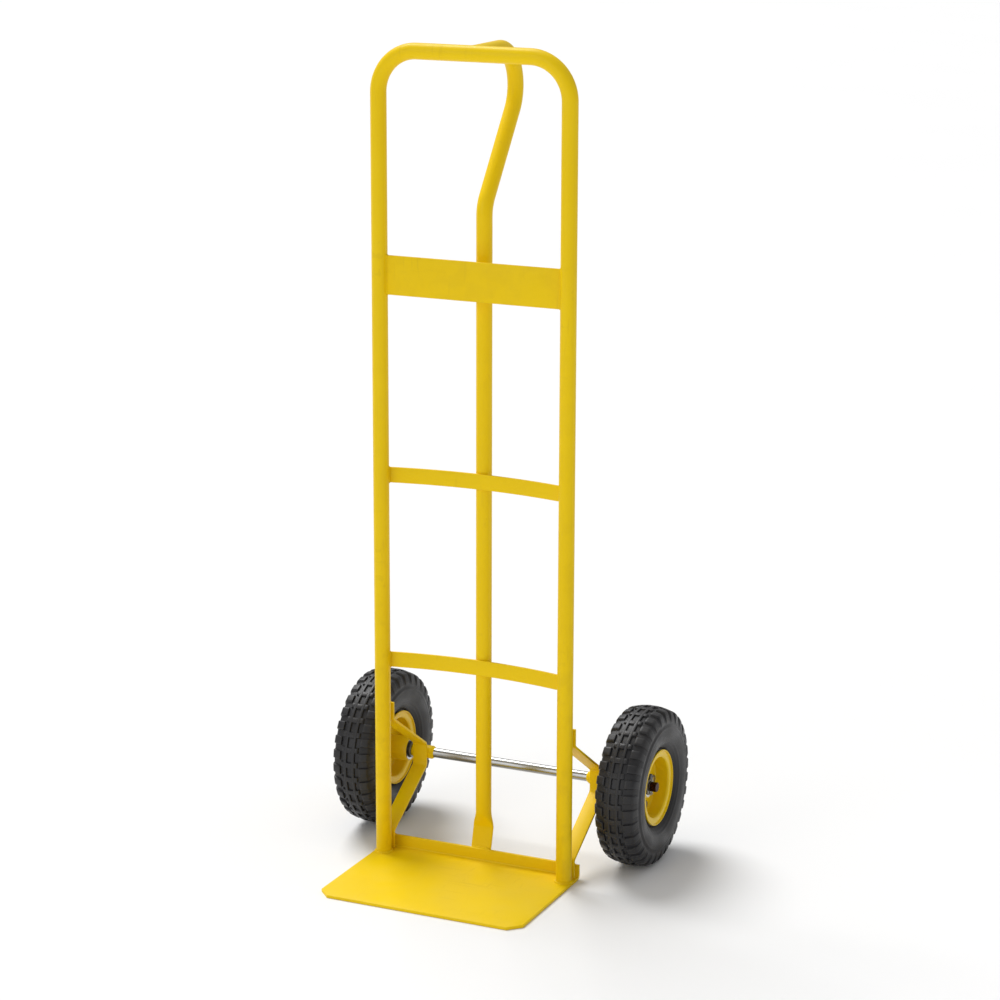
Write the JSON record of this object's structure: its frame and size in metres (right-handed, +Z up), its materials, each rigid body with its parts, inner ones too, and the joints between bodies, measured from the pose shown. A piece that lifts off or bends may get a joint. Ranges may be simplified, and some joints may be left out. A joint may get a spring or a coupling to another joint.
{
  "type": "hand truck",
  "caption": "Hand truck: looped yellow tube frame with rear handle tube, flat toe plate and knobbly pneumatic wheels.",
  "frame": {"origin": "on the floor, under the centre of the overall box, between toe plate tip and back of the tyres", "axes": "+Z up along the uprights, +Y to the back towards the wheels, +X to the right seen from the front, along the axle"},
  "size_m": [0.5434, 0.488, 1.32],
  "materials": {
    "yellow_frame": "glossy yellow powder coat",
    "yellow_rim": "glossy yellow paint",
    "axle_steel": "bright drawn steel, polished",
    "zinc_steel": "bright zinc plate",
    "bearing_steel": "ground and polished",
    "cage_brass": "turned",
    "seal_rubber": "moulded, matt",
    "tyre_rubber": "moulded rubber, satin",
    "tube_rubber": "smooth butyl rubber",
    "valve_brass": "turned and nickel washed",
    "cap_plastic": "moulded, matt"
  },
  "bodies": {
    "frame": {"side_frame": "yellow_frame", "handle_tube": "yellow_frame", "top_plate": "yellow_frame", "upper_crossbar": "yellow_frame", "lower_crossbar": "yellow_frame", "toe_plate": "yellow_frame", "left_axle_bracket": "yellow_frame", "right_axle_bracket": "yellow_frame", "left_axle_boss": "yellow_frame", "right_axle_boss": "yellow_frame", "axle": "axle_steel", "left_spacer": "zinc_steel", "right_spacer": "zinc_steel", "left_inner_washer": "zinc_steel", "right_inner_washer": "zinc_steel", "left_outer_washer": "zinc_steel", "right_outer_washer": "zinc_steel", "left_split_pin": "zinc_steel", "right_split_pin": "zinc_steel", "left_bearing_inner_rings": "bearing_steel", "right_bearing_inner_rings": "bearing_steel"},
    "left_wheel": {"left_tyre": "tyre_rubber", "left_inner_tube": "tube_rubber", "left_outer_rim": "yellow_rim", "left_inner_rim": "yellow_rim", "left_hub": "yellow_rim", "left_rim_bolts": "zinc_steel", "left_rim_nuts": "zinc_steel", "left_bearing_outer_rings": "bearing_steel", "left_bearing_shields": "seal_rubber", "left_valve_stem": "valve_brass", "left_valve_cap": "cap_plastic"},
    "right_wheel": {"right_tyre": "tyre_rubber", "right_inner_tube": "tube_rubber", "right_outer_rim": "yellow_rim", "right_inner_rim": "yellow_rim", "right_hub": "yellow_rim", "right_rim_bolts": "zinc_steel", "right_rim_nuts": "zinc_steel", "right_bearing_outer_rings": "bearing_steel", "right_bearing_shields": "seal_rubber", "right_valve_stem": "valve_brass", "right_valve_cap": "cap_plastic"},
    "left_ball_set": {"left_bearing_balls": "bearing_steel", "left_bearing_cages": "cage_brass"},
    "right_ball_set": {"right_bearing_balls": "bearing_steel", "right_bearing_cages": "cage_brass"}
  },
  "joints": [
    {"name": "left_wheel_spin", "type": "hinge", "parent": "frame", "child": "left_wheel", "pos_m": [-0.2337, 0.114, 0.13], "axis": [1, 0, 0], "continuous": true},
    {"name": "right_wheel_spin", "type": "hinge", "parent": "frame", "child": "right_wheel", "pos_m": [0.2337, 0.114, 0.13], "axis": [1, 0, 0], "continuous": true},
    {"name": "left_ball_set_spin", "type": "hinge", "parent": "frame", "child": "left_ball_set", "pos_m": [-0.2337, 0.114, 0.13], "axis": [1, 0, 0], "continuous": true},
    {"name": "right_ball_set_spin", "type": "hinge", "parent": "frame", "child": "right_ball_set", "pos_m": [0.2337, 0.114, 0.13], "axis": [1, 0, 0], "continuous": true}
  ],
  "couplings": [
    {"joint": "left_ball_set_spin", "follows": "left_wheel_spin", "ratio": 0.61765},
    {"joint": "right_ball_set_spin", "follows": "right_wheel_spin", "ratio": 0.61765}
  ]
}
